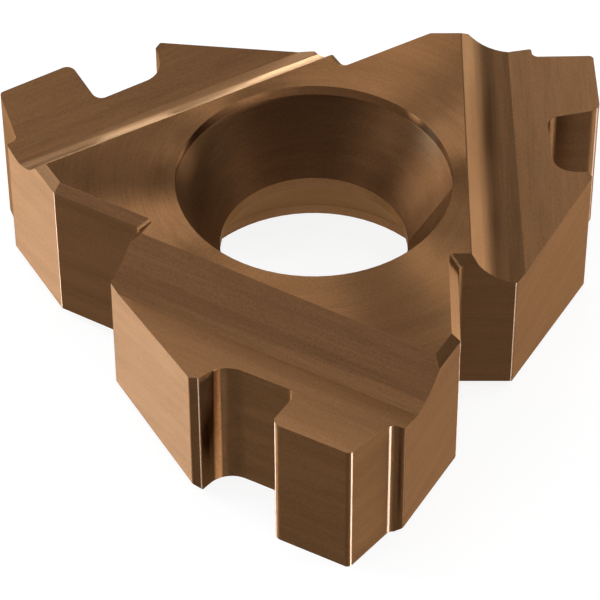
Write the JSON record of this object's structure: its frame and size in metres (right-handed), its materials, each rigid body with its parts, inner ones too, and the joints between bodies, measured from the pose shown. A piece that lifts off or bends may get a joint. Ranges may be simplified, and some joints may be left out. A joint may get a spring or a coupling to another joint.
{
  "type": "threading insert",
  "caption": "Flat triangular threading insert with a cutting tooth and chip groove at each corner, V-notched sides and a countersunk clamping hole.",
  "frame": {"origin": "axis of the clamping hole at the lower face", "axes": "+Z along the hole out of the upper face, -Y towards one cutting corner"},
  "size_m": [0.0212, 0.0201, 0.0062],
  "materials": {
    "coated_carbide": "ground sintered carbide with a bronze-brown coating, satin with fine grinding lines"
  },
  "bodies": {
    "root": {"threading_insert": "coated_carbide"}
  },
  "joints": []
}
